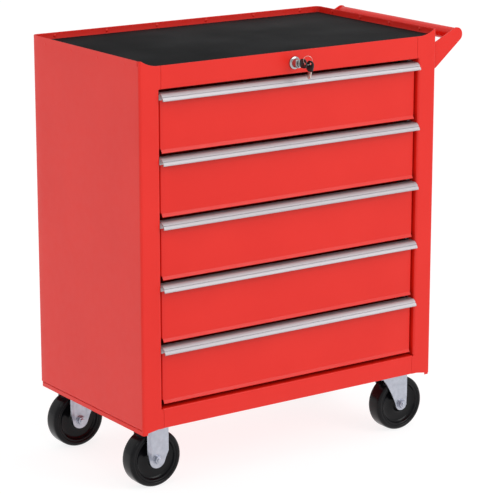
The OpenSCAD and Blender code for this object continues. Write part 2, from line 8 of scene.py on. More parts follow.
import bmesh
import bpy
from mathutils import Matrix, Vector
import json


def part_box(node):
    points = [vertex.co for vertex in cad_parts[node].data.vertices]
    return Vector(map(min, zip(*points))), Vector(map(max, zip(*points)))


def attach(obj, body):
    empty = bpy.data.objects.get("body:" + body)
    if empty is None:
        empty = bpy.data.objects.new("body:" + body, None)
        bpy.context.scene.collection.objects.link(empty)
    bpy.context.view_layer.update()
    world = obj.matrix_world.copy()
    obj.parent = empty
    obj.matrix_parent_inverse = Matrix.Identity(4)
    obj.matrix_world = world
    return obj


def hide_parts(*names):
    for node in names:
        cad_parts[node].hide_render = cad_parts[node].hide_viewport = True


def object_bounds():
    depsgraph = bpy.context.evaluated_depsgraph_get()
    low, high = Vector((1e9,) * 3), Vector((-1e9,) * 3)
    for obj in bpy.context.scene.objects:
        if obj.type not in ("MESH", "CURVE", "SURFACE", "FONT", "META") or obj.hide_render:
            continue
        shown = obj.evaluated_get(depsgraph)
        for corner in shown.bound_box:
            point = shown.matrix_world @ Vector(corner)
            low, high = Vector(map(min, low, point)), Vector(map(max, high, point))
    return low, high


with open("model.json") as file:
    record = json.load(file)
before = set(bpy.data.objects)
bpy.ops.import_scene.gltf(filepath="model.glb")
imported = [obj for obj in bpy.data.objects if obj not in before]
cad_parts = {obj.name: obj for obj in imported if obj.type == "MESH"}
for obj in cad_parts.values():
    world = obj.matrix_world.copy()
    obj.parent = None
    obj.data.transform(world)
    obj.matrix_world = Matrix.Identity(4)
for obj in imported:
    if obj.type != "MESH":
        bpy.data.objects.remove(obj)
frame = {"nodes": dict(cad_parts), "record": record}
cad_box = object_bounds()

MM = 0.001
CORNER = Vector((*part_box("left_side_panel")[0][:2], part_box("base_pan")[0][2]))


def cart_box(node):
    """A CAD node's lowest and highest corners, in cart millimetres."""
    return [(Vector(corner) - CORNER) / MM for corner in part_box(node)]


# ---------------------------------------------------------------- sizes
WIDTH, DEPTH, HEIGHT = cart_box("right_side_panel")[1]
SHEET = 1.0
HALF = SHEET / 2
POST_W = 38.0
POST_RETURN = 30.0
RAIL_TAB = 3.0
BEND_R = 4.0
REAR_R = 10.0
RAIL_TOP = cart_box("top_front_rail")[1][2]
OPENING_TOP = cart_box("top_front_rail")[0][2]
RAIL_LIFT = cart_box("bottom_front_rail")[0][2]
OPENING_BOTTOM = cart_box("bottom_front_rail")[1][2]
SKIRT_H = 9.5
PAN_TOP = cart_box("base_pan")[1][2]
TRAY_Z = cart_box("top_tray")[0][2]
TRAY_TOP = cart_box("top_mat")[0][2]
MAT_TOP = cart_box("top_mat")[1][2]
DRAWERS = range(1, 6)
SLIDE_LEN = 300.0
SLIDE_T = 12.7
PLATE_T = 3.5
BOLT_X, BOLT_Y = 26, 28.5
FIXED_LEG_Y, SWIVEL_LEG_Y = 18.25, 18.1


# ---------------------------------------------------------------- shapes
class Shape:
    """Vertices and faces in cart millimetres, gathered for one object."""

    def __init__(self):
        self.verts = []
        self.faces = []

    def add(self, part, matrix=None):
        """Adds a (verts, faces) part, moved by matrix."""
        verts, faces = part
        first = len(self.verts)
        matrix = matrix or Matrix.Identity(4)
        self.verts += [matrix @ Vector(v) for v in verts]
        self.faces += [tuple(first + i for i in face) for face in faces]
        return self


def at(x, y, z):
    return Matrix.Translation((x, y, z))


MIRROR = at(WIDTH, 0, 0) @ Matrix.Scale(-1, 4, (1, 0, 0))
BOTH_SIDES = (Matrix.Identity(4), MIRROR)
ALONG_Y = Matrix.Rotation(math.radians(-90), 4, "X")
ALONG_X = Matrix.Rotation(math.radians(90), 4, "Y")


def grid(rows, wrap=False, caps=False, keep=None):
    """Faces over rows of points. wrap joins each row's end to its start, and caps closes both end rows."""
    count = len(rows[0])
    verts = [Vector(p) for row in rows for p in row]
    faces = []
    for i in range(len(rows) - 1):
        for j in range(count if wrap else count - 1):
            if keep is None or keep(i, j):
                k = (j + 1) % count
                faces.append((i * count + j, i * count + k, (i + 1) * count + k, (i + 1) * count + j))
    if caps:
        faces.append(tuple(reversed(range(count))))
        faces.append(tuple(range((len(rows) - 1) * count, len(rows) * count)))
    used = sorted({i for face in faces for i in face})
    place = {old: new for new, old in enumerate(used)}
    return [verts[i] for i in used], [tuple(place[i] for i in face) for face in faces]


def thick(part, thickness):
    """The part's surface as a sheet of that thickness, half on each side."""
    mesh = bpy.data.meshes.new("sheet")
    verts, faces = part
    mesh.from_pydata(verts, [], faces)
    sheet = bpy.data.objects.new("sheet", mesh)
    bpy.context.collection.objects.link(sheet)
    solidify = sheet.modifiers.new("thickness", "SOLIDIFY")
    solidify.thickness = thickness
    solidify.offset = 0
    solidify.use_even_offset = True
    done = sheet.evaluated_get(bpy.context.evaluated_depsgraph_get()).to_mesh()
    result = [v.co.copy() for v in done.vertices], [tuple(f.vertices) for f in done.polygons]
    bpy.data.objects.remove(sheet)
    bpy.data.meshes.remove(mesh)
    return result


def arc(centre, radius, start, end, steps):
    """2D points on an arc, with angles in degrees."""
    angles = [math.radians(start + (end - start) * k / steps) for k in range(steps + 1)]
    return [(centre[0] + radius * math.cos(a), centre[1] + radius * math.sin(a)) for a in angles]


def rounded(points, radii, steps=5, closed=False):
    """A path through 2D points that turns each corner on an arc of its radius, or sharply for radius 0."""
    points = [Vector(p) for p in points]
    if closed:
        radii = [radii] * len(points) if isinstance(radii, (int, float)) else radii
        corners = list(zip(points[-1:] + points[:-1], points, points[1:] + points[:1], radii))
        path = []
    else:
        corners = list(zip(points, points[1:], points[2:], radii))
        path = [points[0]]
    for before, corner, after, radius in corners:
        if not radius:
            path.append(corner)
            continue
        a = (before - corner).normalized()
        b = (after - corner).normalized()
        half = a.angle(b) / 2
        middle = corner + (a + b).normalized() * radius / math.sin(half)
        start = corner + a * radius / math.tan(half) - middle
        turn = corner + b * radius / math.tan(half) - middle
        sweep = math.atan2(start.cross(turn), start.dot(turn))
        path += [middle + Matrix.Rotation(sweep * k / steps, 2) @ start for k in range(steps + 1)]
    return path if closed else path + [points[-1]]


def folded(across, up, place, thickness=SHEET):
    """A sheet folded from a flat middle, with the corners between two folds left open, as on a folded blank.
    across and up are paths of (distance, depth)."""
    def flat(path, k):
        return abs(path[k][1]) + abs(path[k + 1][1]) < 1e-4
    rows = [[place(u, v, du + dv) for u, du in across] for v, dv in up]
    return thick(grid(rows, keep=lambda i, j: flat(up, i) or flat(across, j)), thickness)


def prism(outline, low, high, bevel=0.0):
    """A 2D outline extruded along z, with its two edges cut back by bevel."""
    def inset(amount):
        count = len(outline)
        result = []
        for k in range(count):
            before, here, after = (Vector(outline[(k + s) % count]) for s in (-1, 0, 1))
            a = (here - before).normalized()
            b = (after - here).normalized()
            normal = (Vector((-a.y, a.x)) + Vector((-b.y, b.x))).normalized()
            result.append(here + normal * amount / max(0.4, normal.dot(Vector((-a.y, a.x)))))
        return result
    if not bevel:
        levels = [(0, low), (0, high)]
    else:
        levels = [(bevel, low), (bevel * 0.3, low + bevel * 0.3), (0, low + bevel)]
        levels += [(0, high - bevel), (bevel * 0.3, high - bevel * 0.3), (bevel, high)]
    return grid([[(p[0], p[1], z) for p in inset(amount)] for amount, z in levels], wrap=True, caps=True)


def lathe(profile, steps=48, closed=False):
    """Turns (height, radius) points about z. An open profile is capped where it starts and ends."""
    angles = [2 * math.pi * k / steps for k in range(steps)]
    rows = [[(r * math.cos(a), r * math.sin(a), h) for a in angles] for h, r in profile]
    if closed:
        rows.append(rows[0])
    return grid(rows, wrap=True, caps=not closed)


def hexagon(radius, low, high):
    """A hexagonal head or nut with both of its ends chamfered."""
    rows = []
    for height, cut in ((low, 0.93), (low + 0.6, 1.0), (high - 0.6, 1.0), (high, 0.93)):
        angles = [math.radians(60 * k) for k in range(6)]
        rows.append([(radius * cut * math.cos(a), radius * cut * math.sin(a), height) for a in angles])
    return grid(rows, wrap=True, caps=True)


def hex_bolt(radius, height, washer):
    """A bolt head with its washer, standing on z = 0."""
    shape = Shape()
    shape.add(lathe([(0, washer), (0.9, washer), (1.2, washer - 0.3), (1.2, radius * 0.5)], 40))
    shape.add(hexagon(radius, 1.0, height))
    return shape.verts, shape.faces


def tube(path, radius, steps=10, closed=False):
    """A round bar along a list of 3D points."""
    count = len(path)
    rows = []
    for k, point in enumerate(path):
        ahead = path[(k + 1) % count] if closed or k + 1 < count else point
        behind = path[k - 1] if closed or k else point
        along = (ahead - behind).normalized()
        side = along.cross(Vector((0.3, 0.2, 1))).normalized()
        up = side.cross(along)
        angles = [2 * math.pi * s / steps for s in range(steps)]
        rows.append([point + radius * (math.cos(a) * side + math.sin(a) * up) for a in angles])
    if closed:
        rows.append(rows[0])
    return grid(rows, wrap=True, caps=not closed)


# ---------------------------------------------------------------- materials
def tree(name):
    """A new material, with its nodes, links and shader."""
    material = bpy.data.materials.new(name)
    material.use_nodes = True
    nodes = material.node_tree.nodes
    return material, nodes, material.node_tree.links, nodes["Principled BSDF"]


def noise(nodes, links, scale, detail=3.0, stretch=None):
    """Noise in the object's own space, per metre, and drawn out along an axis by stretch."""
    place = nodes.new("ShaderNodeTexCoord")
    source = place.outputs["Object"]
    if stretch:
        mapping = nodes.new("ShaderNodeMapping")
        mapping.inputs["Scale"].default_value = stretch
        links.new(source, mapping.inputs["Vector"])
        source = mapping.outputs["Vector"]
    texture = nodes.new("ShaderNodeTexNoise")
    texture.inputs["Scale"].default_value = scale
    texture.inputs["Detail"].default_value = detail
    links.new(source, texture.inputs["Vector"])
    return texture.outputs["Fac"]


def ramp(nodes, links, source, low, high, start=0.3, end=0.7):
    """Carries source from one colour or grey to another."""
    blend = nodes.new("ShaderNodeValToRGB")
    for element, value, place in zip(blend.color_ramp.elements, (low, high), (start, end)):
        element.color = (*value, 1) if isinstance(value, tuple) else (value, value, value, 1)
        element.position = place
    links.new(source, blend.inputs["Fac"])
    return blend.outputs["Color"]


def bump(nodes, links, shader, source, depth, distance=MM):
    """Relief of that strength from source, over a distance in metres."""
    relief = nodes.new("ShaderNodeBump")
    relief.inputs["Strength"].default_value = depth
    relief.inputs["Distance"].default_value = distance
    links.new(source, relief.inputs["Height"])
    links.new(relief.outputs["Normal"], shader.inputs["Normal"])


def coat(name, tone, colours, skin, rough, relief, depth, specular):
    """Paint or moulded plastic with an uneven tone, an uneven gloss and a fine relief.
    tone is a noise's (scale, detail), skin and relief are scales, and depth is (strength, metres)."""
    material, nodes, links, shader = tree(name)
    links.new(ramp(nodes, links, noise(nodes, links, *tone), *colours), shader.inputs["Base Color"])
    links.new(ramp(nodes, links, noise(nodes, links, skin), *rough), shader.inputs["Roughness"])
    bump(nodes, links, shader, noise(nodes, links, relief, 2), *depth)
    shader.inputs["Specular IOR Level"].default_value = specular
    return material


def black_mat():
    """Moulded rubber mat with a fine leather-like pebble and faint wide sheen."""
    material, nodes, links, shader = tree("black_mat")
    wide = noise(nodes, links, 7, 2)
    colour = ramp(nodes, links, wide, (0.005, 0.0055, 0.006), (0.008, 0.0085, 0.0095))
    links.new(colour, shader.inputs["Base Color"])
    links.new(ramp(nodes, links, wide, 0.75, 0.65), shader.inputs["Roughness"])
    pebble = nodes.new("ShaderNodeTexVoronoi")
    pebble.inputs["Scale"].default_value = 620
    place = nodes.new("ShaderNodeTexCoord")
    links.new(place.outputs["Object"], pebble.inputs["Vector"])
    bump(nodes, links, shader, pebble.outputs["Distance"], 0.5, 0.4 * MM)
    shader.inputs["Specular IOR Level"].default_value = 0.06
    return material


def metal(name, colour, dark, rough, grain, stretch=None, depth=0.1):
    """Metal whose tone and roughness vary with its grain."""
    material, nodes, links, shader = tree(name)
    tone = noise(nodes, links, grain, 4, stretch)
    links.new(ramp(nodes, links, tone, dark, colour), shader.inputs["Base Color"])
    links.new(ramp(nodes, links, tone, rough + 0.08, rough), shader.inputs["Roughness"])
    bump(nodes, links, shader, noise(nodes, links, grain * 4, 2, stretch), depth, 0.1 * MM)
    shader.inputs["Metallic"].default_value = 1.0
    return material


MATERIALS = {
    "red_paint": coat("red_paint", (9, 4), ((0.69, 0.010, 0.003), (0.72, 0.013, 0.005)), 60, (0.34, 0.42),
                      900, (0.12, 0.1 * MM), 0.36),
    "black_mat": black_mat(),
    "pull_aluminium": metal("pull_aluminium", (0.56, 0.54, 0.56), (0.50, 0.48, 0.50), 0.56, 60, (0.02, 1, 1)),
    "zinc": metal("zinc", (0.50, 0.52, 0.59), (0.41, 0.43, 0.49), 0.32, 120),
    "lock_chrome": metal("lock_chrome", (0.46, 0.47, 0.48), (0.40, 0.41, 0.42), 0.14, 100),
    "key_nickel": metal("key_nickel", (0.70, 0.66, 0.60), (0.60, 0.57, 0.52), 0.25, 160),
    "wheel_black": coat("wheel_black", (40, 3), ((0.002, 0.002, 0.003), (0.005, 0.005, 0.006)), 90,
                        (0.16, 0.24), 500, (0.06, 0.1 * MM), 0.18),
    "key_plastic": coat("key_plastic", (200, 3), ((0.006, 0.006, 0.007), (0.012, 0.012, 0.013)), 400,
                        (0.3, 0.45), 2500, (0.15, 0.05 * MM), 0.5),
}


# ---------------------------------------------------------------- pieces
def piece(name, shape, body, slot, bevel=0.0, angle=40, segments=2):
    """Builds the shape as an object that rides on a body and stands for the CAD node of its name."""
    mesh = bpy.data.meshes.new(name)
    mesh.from_pydata([CORNER + v * MM for v in shape.verts], [], shape.faces)
    work = bmesh.new()
    work.from_mesh(mesh)
    bmesh.ops.remove_doubles(work, verts=work.verts, dist=0.002 * MM)
    bmesh.ops.recalc_face_normals(work, faces=work.faces)
    work.to_mesh(mesh)
    work.free()
    mesh.shade_smooth()
    mesh.set_sharp_from_angle(angle=math.radians(angle))
    made = bpy.data.objects.new(name + "_fine", mesh)
    bpy.context.collection.objects.link(made)
    if bevel:
        cut = made.modifiers.new("edges", "BEVEL")
        cut.width = bevel * MM
        cut.segments = segments
        cut.limit_method = "ANGLE"
        cut.angle_limit = math.radians(angle)
        cut.harden_normals = True
    mesh.materials.append(MATERIALS[slot])
    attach(made, body)
    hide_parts(name)
    return made


def dome(radius, height, steps=24):
    """A low domed head standing on z = 0."""
    profile = [(-0.3, radius), (0, radius)]
    profile += [(height * math.sin(a), radius * math.cos(a)) for a in (0.35, 0.75, 1.1, 1.4)]
    return lathe(profile, steps)


# ---------------------------------------------------------------- cabinet
def post_top(x):
    """Height of the post's top edge, which falls in an arc from the rim to the rail."""
    run = POST_W - 2 * BEND_R + 2
    drop = HEIGHT - RAIL_TOP
    radius = (run * run + drop * drop) / (2 * drop)
    reach = min(run, max(0.0, BEND_R + run - x))
    return RAIL_TOP + radius - math.sqrt(radius * radius - reach * reach)


def side_panel(name, matrix):
    """Side sheet with its front post and rear flange, folded from one blank."""
    corner_drop = 3.0
    tab_end = POST_W + RAIL_TAB - 0.1
    inner = POST_W - HALF
    front = rounded([(inner, POST_RETURN), (inner, HALF), (POST_W - 10, HALF)], [BEND_R - HALF])
    face = [(POST_W - BEND_R - k * (POST_W - 2 * BEND_R) / 12, HALF) for k in range(1, 12)]
    side = rounded([(20, HALF), (HALF, HALF), (HALF, DEPTH - HALF), (25, DEPTH - HALF)],
                   [BEND_R - HALF, REAR_R - HALF], 7)
    slit = [BEND_R + 1, BEND_R + 2.6]
    flats = slit + [15 + 25 * k for k in range(13)]
    bend, rear = side[1:9], side[9:]
    columns = [Vector(p) for p in front[:-1] + face + bend + [(HALF, y) for y in flats] + rear]
    post_start = len(front) - 2
    side_start = len(front) - 1 + len(face) + len(bend) - 1
    slit_at = side_start + 1
    flat_end = side_start + len(flats)
    levels = [0, SKIRT_H, OPENING_BOTTOM - 3, OPENING_BOTTOM]
    levels += [OPENING_BOTTOM + (OPENING_TOP - OPENING_BOTTOM) * k / 14 for k in range(1, 14)]
    levels += [OPENING_TOP, OPENING_TOP + 3, TRAY_TOP + 1, TRAY_TOP + 2.2, RAIL_TOP + 1, HEIGHT]
    opening = range(3, levels.index(OPENING_TOP))
    slit_row = levels.index(RAIL_TOP + 1)

    def height(column, row):
        x = column.x if column.y < BEND_R else 0
        z = levels[row]
        if row == 0:
            share = min(1.0, max(0.0, (x - BEND_R) / (POST_W - 13)))
            return corner_drop + (RAIL_LIFT - corner_drop) * share
        if z > OPENING_TOP + 3:
            base = OPENING_TOP + 3
            return base + (z - base) * (post_top(x) - base) / (HEIGHT - base)
        return z

    def spot(j, row):
        column = columns[j]
        z = height(column, row)
        x = column.x
        if side_start < j < flat_end:
            wave = math.sin(math.pi * (column.y - 4) / (DEPTH - 16))
            wave *= math.sin(math.pi * (z - SKIRT_H) / (HEIGHT - 20))
            x += 0.35 * max(0.0, wave)
        if j >= side_start and z > TRAY_TOP + 2 and column.y < DEPTH - REAR_R:
            x += 0.12
        return Vector((x, column.y, z))

    def keep(row, j):
        if j < post_start:
            return row in opening
        if j < side_start:
            return True
        return row >= 1 and not (j == slit_at and row >= slit_row)

    shape = Shape()
    rows = [[spot(j, row) for j in range(len(columns))] for row in range(len(levels))]
    sheet = grid(rows, keep=keep)
    joint = columns[post_start]
    for span in (range(0, 4), range(levels.index(OPENING_TOP), len(levels))):
        tab = []
        for row in span:
            z = height(joint, row)
            reach = RAIL_TAB * min(1.0, abs(z - OPENING_BOTTOM) / 3, abs(z - OPENING_TOP) / 3)
            tab.append([Vector((tab_end - RAIL_TAB + reach, HALF, z)), Vector((joint.x, joint.y, z))])
        verts, faces = grid(tab)
        first = len(sheet[0])
        sheet = sheet[0] + verts, sheet[1] + [tuple(first + i for i in face) for face in faces]
    shape.add(thick(welded(sheet), SHEET), matrix)
    return piece(name, shape, "cabinet", "red_paint", bevel=0.42, segments=3)


def welded(part):
    """The part with vertices in the same place joined."""
    verts, faces, seen, place = [], [], {}, []
    for v in part[0]:
        key = tuple(round(c, 3) for c in v)
        if key not in seen:
            seen[key] = len(verts)
            verts.append(v)
        place.append(seen[key])
    for face in part[1]:
        corners = list(dict.fromkeys(place[i] for i in face))
        if len(corners) > 2:
            faces.append(tuple(corners))
    return verts, faces


def back_panel():
    """Back sheet with a shallow pressed field."""
    low, high = cart_box("back_panel")
    columns = [low.x + (high.x - low.x) * k / 14 for k in range(15)]
    levels = [low.z + (high.z - low.z) * k / 14 for k in range(15)]
    middle = (low.y + high.y) / 2

    def spot(x, z):
        wave = math.sin(math.pi * (x - low.x) / (high.x - low.x))
        wave *= math.sin(math.pi * (z - low.z) / (high.z - low.z))
        return Vector((x, middle - 0.3 * wave, z))

    shape = Shape().add(thick(grid([[spot(x, z) for x in columns] for z in levels]), SHEET))
    return piece("back_panel", shape, "cabinet", "red_paint", bevel=0.2)


def around(inset, front, steps=7):
    """Points from the left front, round the back, to the right front, at that inset from the sides."""
    left, back, radius = inset, DEPTH - SHEET - inset, REAR_R - inset
    path = [Vector((left, front))]
    path += [Vector(p) for p in arc((left + radius, back - radius), radius, 180, 90, steps)]
    right = [Vector((WIDTH - p.x, p.y)) for p in reversed(path)]
    return path + right


def tray():
    """Tray floor with upstands at its left, back and right."""
    front, wall_front = 1.6, 7.0
    wall = SHEET + HALF
    profile = rounded([(REAR_R - 1, TRAY_Z + HALF), (wall, TRAY_Z + HALF), (wall, HEIGHT - 1.05)], [2])
    rows = []
    for inset, z in profile:
        start = front if z < TRAY_Z + 2 else wall_front
        rows.append([Vector((p.x, p.y, z)) for p in around(inset, start)])
    shape = Shape().add(thick(grid(rows), SHEET))
    floor = [(p.x, p.y) for p in reversed(around(REAR_R - 1.5, front))]
    shape.add(prism(floor, TRAY_Z, TRAY_TOP))
    return piece("top_tray", shape, "cabinet", "red_paint", bevel=0.22)


def mat():
    """Rubber mat with a rounded edge that fills the tray."""
    inset = SHEET * 2 + 1.6
    rows = []
    edge = ((0.3, TRAY_TOP), (0, TRAY_TOP + 0.4), (0, MAT_TOP - 0.9), (0.25, MAT_TOP - 0.3), (0.9, MAT_TOP))
    for cut, z in edge:
        rows.append([Vector((p.x, p.y, z)) for p in reversed(around(inset + cut, inset + cut))])
    shape = Shape().add(grid(rows, wrap=True, caps=True))
    return piece("top_mat", shape, "cabinet", "black_mat")


def front_rails():
    """Rails over and under the drawers, with an ear at each end that meets the post's folded tab."""
    ends = [(POST_W + RAIL_TAB + 0.25, 0), (WIDTH / 2, 0), (WIDTH - POST_W - RAIL_TAB - 0.25, 0)]

    def place(opening):
        def spot(u, v, d):
            ear = max(0.0, 1 - abs(v - opening) / 3) * (RAIL_TAB - 0.2)
            side = (u > WIDTH / 2) - (u < WIDTH / 2)
            return Vector((u + side * ear, HALF + d, v))
        return spot

    depth = 20.0
    edge = OPENING_TOP + HALF
    up = [(OPENING_TOP + 7.5, depth), (edge, depth), (edge, 0), (OPENING_TOP + 3.4, 0), (RAIL_TOP, 0)]
    up = rounded(up, [1.5, 1.6, 0])
    shape = Shape().add(folded(ends, up, place(OPENING_TOP)))
    piece("top_front_rail", shape, "cabinet", "red_paint", bevel=0.42, segments=3)
    edge = OPENING_BOTTOM - HALF
    low = RAIL_LIFT + HALF
    up = rounded([(low, 7), (low, 0), (OPENING_BOTTOM - 3.4, 0), (edge, 0), (edge, depth)], [1.4, 0, 1.6])
    shape = Shape().add(folded(ends, up, place(OPENING_BOTTOM)))
    piece("bottom_front_rail", shape, "cabinet", "red_paint", bevel=0.2)


def base():
    """Base pan: a floor with a skirt that shows under the side panels and turns in behind the posts."""
    gauge = 1.2
    wall = SHEET + gauge / 2
    turn_in = 10.0
    groove = SKIRT_H - 1.9
    path = around(wall, wall + 2)
    left = [Vector(p) for p in arc((wall + 2, wall + 2), 2, 270, 180, 4)]
    right = [Vector((WIDTH - p.x, p.y)) for p in reversed(left)]
    path = [Vector((turn_in, wall))] + left + path[1:-1] + right + [Vector((WIDTH - turn_in, wall))]
    rows = [[Vector((p.x, p.y, z)) for p in path] for z in (0.1, groove)]
    shape = Shape().add(thick(grid(rows), gauge))
    steps = ((wall, groove), (wall + 1.4, groove + 0.7), (wall + 1.4, PAN_TOP - gauge))
    rows = [[Vector((p.x, p.y, z)) for p in around(inset, BEND_R + 1)] for inset, z in steps]
    shape.add(thick(grid(rows), gauge))
    shape.add(prism([(p.x, p.y) for p in reversed(around(SHEET, 1.2))], PAN_TOP - gauge, PAN_TOP))
    floor_z = PAN_TOP - gauge / 2
    lip = rounded([(wall + 8, floor_z), (wall, floor_z), (wall, RAIL_LIFT + 1.2)], [1.5])
    rows = [[Vector((x, y, z)) for x in (POST_W + 1, WIDTH - POST_W - 1)] for y, z in lip]
    shape.add(thick(grid(rows), gauge))
    return piece("base_pan", shape, "cabinet", "red_paint", bevel=0.2)


def rivets():
    """Painted rivets through the tray's upstands: heads inside and low tails outside."""
    head_r, tail_r, inset = 2.9, 2.3, 44.0
    low, high = cart_box("rim_rivets")
    z = (low.z + high.z) / 2
    shape = Shape()
    inward = Matrix.Rotation(math.radians(90), 4, "X")
    for k in range(6):
        x = inset + (WIDTH - 2 * inset) * k / 5
        shape.add(dome(head_r, 1.15), at(x, DEPTH - 3, z) @ inward)
    for matrix in BOTH_SIDES:
        for k in range(4):
            y = inset + (DEPTH - 2 * SHEET - 2 * inset) * k / 3
            shape.add(dome(head_r, 1.15), matrix @ at(2, y, z) @ ALONG_X)
            shape.add(dome(tail_r, 0.35), matrix @ at(0.1, y, z - 5) @ ALONG_X.inverted())
    return piece("rim_rivets", shape, "cabinet", "red_paint")


# ---------------------------------------------------------------- drawers
def drawer_front(i):
    """Drawer front folded from one sheet: returned sides, a top flange and a flared, hemmed lower edge."""
    low, high = cart_box(f"drawer_front_{i}")
    face_y = 6 + HALF
    flare_h = 6.0
    left, right = low.x + HALF, high.x - HALF
    depth = 8.5
    steps = [left + (right - left) * k / 10 for k in range(1, 10)]
    ends = rounded([(left, depth), (left, 0), (left + 20, 0)], [1.4])
    mirrored = [Vector((left + right - p.x, p.y)) for p in reversed(ends[:-1])]
    across = ends[:-1] + [Vector((u, 0)) for u in steps] + mirrored
    top = high.z - HALF
    up = rounded([(low.z + 2.6, -1.6), (low.z + HALF, -1.9), (low.z + 0.55, -2.9), (low.z + flare_h, 0),
                  (low.z + 50, 0), (top, 0), (top, depth - 1.5)], [0.3, 0.3, 4, 0, 1.2])
    shape = Shape().add(folded(across, up, lambda u, v, d: Vector((u, face_y + d, v))))
    return piece(f"drawer_front_{i}", shape, f"drawer_{i}", "red_paint", bevel=0.2)


def pull_outline():
    """Section of the pull as (y, height) points: top plate, convex grooved face, beaded lip, and leg."""
    wall, reach, height, face_r = 1.6, 9.0, 12.8, 17.0
    lip_z = -height + 2.6
    start, end = Vector((0.6, 0)), Vector((-reach + 1, lip_z + 1))
    chord = (end - start).length
    along = (end - start) / chord
    centre = (start + end) / 2 + math.sqrt(face_r ** 2 - chord ** 2 / 4) * Vector((-along.y, along.x))
    first = math.degrees(math.atan2(*(start - centre).yx))
    last = math.degrees(math.atan2(*(end - centre).yx))
    turn = (last - first + 180) % 360 - 180
    groove = first + turn * 0.72
    width = turn * 0.06
    face = arc(centre, face_r, first + turn * 0.05, groove - width, 6)
    face += arc(centre, face_r - 1.3, groove - width * 0.6, groove + width * 0.6, 2)
    face += arc(centre, face_r, groove + width, last, 3)
    bead = arc((-reach + 1.8, lip_z - 0.6), 1.8, 170, 400, 10)
    back = arc(centre, face_r - wall, last - turn * 0.12, first + turn * 0.1, 7)
    leg_y, deep = 6.0, 14.0
    leg = [(leg_y - wall, -wall - 0.4), (leg_y - wall, -height + 1), (leg_y, -height + 1), (leg_y, -wall)]
    plate = [(deep, -wall), (deep, 0)]
    return [Vector(p) for p in face + bead + back + [(1.6, -wall)] + leg + plate]


def pull(i):
    """Extruded aluminium pull with softened sawn ends."""
    low, high = cart_box(f"drawer_pull_{i}")
    outline = pull_outline()
    rows = [[Vector((x, p.x, high.z + p.y)) for p in outline] for x in (low.x, high.x)]
    shape = Shape().add(grid(rows, wrap=True, caps=True))
    return piece(f"drawer_pull_{i}", shape, f"drawer_{i}", "pull_aluminium", bevel=0.22, angle=35)


def drawer_box(i):
    """Drawer pan with hemmed rims, folded corners and a catch behind for the lock bar."""
    low, high = cart_box(f"drawer_box_{i}")
    back = high.y - 9
    left, right, front, rear = low.x + HALF, high.x - HALF, low.y + HALF, back - HALF
    bottom = low.z + HALF
    rise = high.z - low.z - SHEET
    hem = 2.2

    def walls(a, b, first, last):
        path = [(a + hem, first - 4), (a + hem, first), (a, first), (a, 0), ((a + b) / 2, 0), (b, 0),
                (b, last), (b - hem, last), (b - hem, last - 4)]
        return rounded(path, [1.0, 1.0, 2.2, 0, 2.2, 1.0, 1.0], 4)

    across = walls(left, right, rise, rise)
    along = walls(front, rear, rise, rise - 8)
    shape = Shape().add(folded(across, along, lambda u, v, d: Vector((u, v, bottom + d))))
    lip_top = cart_box(f"drawer_front_{i}")[0].z + 45
    middle = WIDTH / 2
    fold = lip_top - 11.4
    catch = rounded([(lip_top, 8.5), (fold, 8.5), (fold, 0), (lip_top - 22, 0)], [1.2, 1.2])
    rows = [[Vector((middle + s * 7.9, back + HALF - 0.4 + d, v)) for s in (-1, 1)] for v, d in catch]
    shape.add(thick(grid(rows), SHEET))
    return piece(f"drawer_box_{i}", shape, f"drawer_{i}", "red_paint", bevel=0.18)


def channel(width, height, lip, radius, length, start):
    """A rolled C section along y, open towards +x, with its web at x = 0."""
    half = 0.6
    path = rounded([(width, half + lip), (width, half), (half, half), (half, height - half),
                    (width, height - half), (width, height - half - lip)], [0.6, radius, radius, 0.6], 4)
    rows = [[Vector((x, y, z)) for x, z in path] for y in (start, start + length)]
    return thick(grid(rows), 1.2)


def slides():
    """Ball-bearing slides: outer channels on the cabinet, and inner channels with each drawer."""
    channels = Shape()
    for i in DRAWERS:
        low, high = cart_box(f"slide_runners_{i}")
        outer_low = low.z - 4.2
        runners = Shape()
        for matrix in BOTH_SIDES:
            channels.add(channel(8.6, 30, 1.4, 2.0, SLIDE_LEN, 18), matrix @ at(POST_W, 0, outer_low))
            inner = channel(8.2, high.z - low.z, 0.8, 1.6, SLIDE_LEN - 2, low.y)
            turned = at(POST_W + SLIDE_T, 0, low.z) @ Matrix.Scale(-1, 4, (1, 0, 0))
            runners.add(inner, matrix @ turned)
        piece(f"slide_runners_{i}", runners, f"drawer_{i}", "zinc", bevel=0.15)
    return piece("slide_channels", channels, "cabinet", "zinc", bevel=0.15)


# ---------------------------------------------------------------- handle
def socket_head(radius, height):
    """A button head with a hexagonal socket, standing on z = 0."""
    steps = 36
    rows = []
    profile = ((0, 1, 0), (0.3, 1, 0), (0.75, 0.82, 0), (1, 0.58, 0), (1, 0.44, 1), (0.45, 0.42, 1))
    for up, out, six in profile:
        z, r = height * up, radius * out
        ring = []
        for k in range(steps):
            a = 2 * math.pi * k / steps
            reach = r / math.cos((a + math.pi / 6) % (math.pi / 3) - math.pi / 6) if six else r
            ring.append((reach * math.cos(a), reach * math.sin(a), z))
        rows.append(ring)
    return grid(rows, wrap=True, caps=True)


